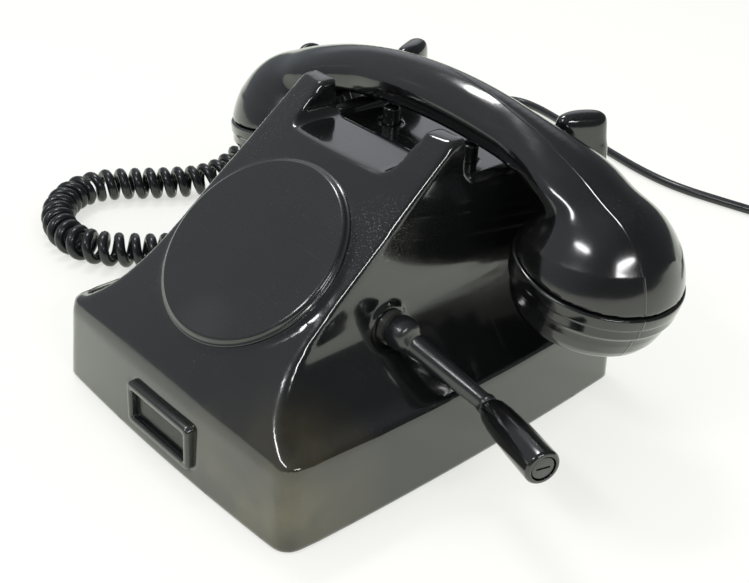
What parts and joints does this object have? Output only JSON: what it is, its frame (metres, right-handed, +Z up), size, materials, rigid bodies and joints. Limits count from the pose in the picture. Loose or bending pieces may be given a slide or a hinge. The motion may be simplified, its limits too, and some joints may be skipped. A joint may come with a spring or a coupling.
{
  "type": "hand-crank telephone",
  "caption": "desk telephone with a moulded black housing, a cradle handset on a curly cord, a blanked dial place and a side crank that turns a magneto",
  "frame": {"origin": "on the table, under the middle of the housing", "axes": "+X to the user's right, from handset head to handset head; +Y to the rear; +Z up"},
  "size_m": [0.3535, 0.4555, 0.126],
  "materials": {
    "bakelite_body": "polished moulded phenolic",
    "bakelite_handset": "polished moulded phenolic",
    "disc_bakelite": "satin moulded phenolic",
    "label_metal": "grey enamel",
    "label_paper": "blank card",
    "clear_sheet": "thin clear sheet",
    "steel": "plain machined steel",
    "crank_metal": "black lacquered steel",
    "brass": "plain brass",
    "magnet_steel": "dark hardened steel",
    "winding": "enamelled copper wire",
    "can": "drawn can",
    "fibre": "pressed board",
    "rubber": "moulded rubber",
    "cord": "black rubber sheath"
  },
  "bodies": {
    "root": {"housing": "bakelite_body", "base_plate": "steel", "base_screws": "steel", "feet": "rubber", "dial_blank": "disc_bakelite", "dial_clamp": "steel", "dial_clamp_screw": "steel", "label_frame": "label_metal", "label_card": "label_paper", "label_window": "clear_sheet", "line_cord_bush": "rubber", "handset_cord_bush": "rubber", "crank_bush": "brass", "magneto_end_plates": "steel", "magneto_tie_bolts": "steel", "magneto_pole_pieces": "steel", "magneto_magnets": "magnet_steel", "ringer_yoke": "steel", "ringer_coils": "winding", "ringer_bracket": "steel", "gong_posts": "steel", "gong_left": "brass", "gong_right": "brass", "gong_screws": "steel", "clapper_pivot": "steel", "induction_coil": "winding", "capacitor": "can", "terminal_block": "fibre", "terminal_screws": "brass", "switch_bracket": "steel", "lever_pin": "steel", "lever_spring": "steel", "contact_block": "fibre", "contact_springs": "brass", "handset_cord": "cord", "line_cord": "cord", "line_cord_coil": "cord", "coil_tie": "rubber", "line_plug": "bakelite_handset"},
    "crank": {"crank_shaft": "steel", "crank_arm": "crank_metal", "knob_spindle": "steel", "drive_gear": "brass"},
    "knob": {"crank_knob": "bakelite_handset"},
    "armature": {"magneto_armature": "steel", "armature_winding": "winding", "armature_pinion": "steel"},
    "clapper_body": {"clapper": "brass"},
    "plungers": {"cradle_plungers": "bakelite_handset"},
    "lever": {"hook_lever": "steel"},
    "handset": {"handset_handle": "bakelite_handset", "earpiece_cap": "bakelite_handset", "mouthpiece_cap": "bakelite_handset", "receiver_capsule": "steel", "transmitter_capsule": "brass", "handset_cord_relief": "rubber"}
  },
  "joints": [
    {"name": "crank_spin", "type": "hinge", "parent": "root", "child": "crank", "pos_m": [0.05, -0.024, 0.0565], "axis": [1, 0, 0], "continuous": true},
    {"name": "knob_spin", "type": "hinge", "parent": "crank", "child": "knob", "pos_m": [0.086, -0.00919, 0.0355], "axis": [0.9537, -0.3007, 0], "continuous": true},
    {"name": "armature_spin", "type": "hinge", "parent": "root", "child": "armature", "pos_m": [0, -0.024, 0.0313], "axis": [1, 0, 0], "continuous": true},
    {"name": "handset_lift", "type": "slide", "parent": "root", "child": "handset", "axis": [0, 0, 1], "range_m": [0, 0.06]},
    {"name": "plunger_travel", "type": "slide", "parent": "root", "child": "plungers", "axis": [0, 0, 1], "range_m": [0, 0.005]},
    {"name": "hook_lever_turn", "type": "hinge", "parent": "root", "child": "lever", "pos_m": [0, 0.016, 0.0795], "axis": [1, 0, 0], "range_deg": [0, 11]},
    {"name": "clapper_swing", "type": "hinge", "parent": "root", "child": "clapper_body", "pos_m": [0, 0.052, 0.0475], "axis": [0, 1, 0], "range_deg": [-4, 4], "stiffness_Nm_per_rad": 0.005}
  ],
  "couplings": [
    {"joint": "armature_spin", "follows": "crank_spin", "ratio": -5},
    {"joint": "plunger_travel", "follows": "handset_lift", "ratio": 0.083333},
    {"joint": "hook_lever_turn", "follows": "handset_lift", "rad_per_m": 3.16}
  ]
}
